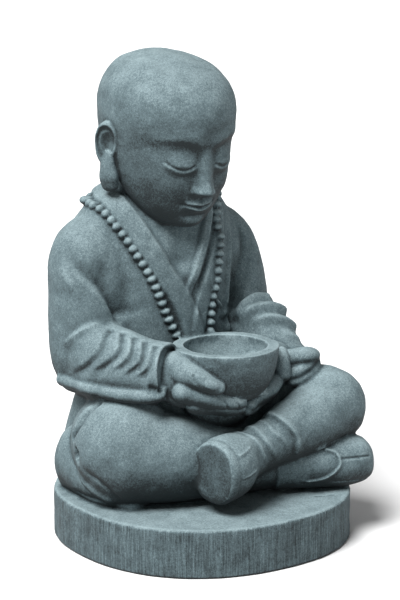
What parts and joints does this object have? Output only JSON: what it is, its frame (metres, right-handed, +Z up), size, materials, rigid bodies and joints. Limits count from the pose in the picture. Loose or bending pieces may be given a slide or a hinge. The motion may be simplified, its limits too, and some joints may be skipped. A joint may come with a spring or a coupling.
{
  "type": "monk statue",
  "caption": "Cast stone statue of a seated child monk with bowed head and crossed legs, holding an open bowl in both hands, on a low round plinth.",
  "frame": {"origin": "centre of the plinth's underside, which is the resting face", "axes": "+Z up; the monk looks along -Y with its right side at -X and its left side at +X"},
  "size_m": [0.3095, 0.296, 0.4939],
  "materials": {
    "cast_stone": "matte, fine sandy grain, blue grey"
  },
  "bodies": {
    "root": {"monk_statue": "cast_stone"}
  },
  "joints": []
}
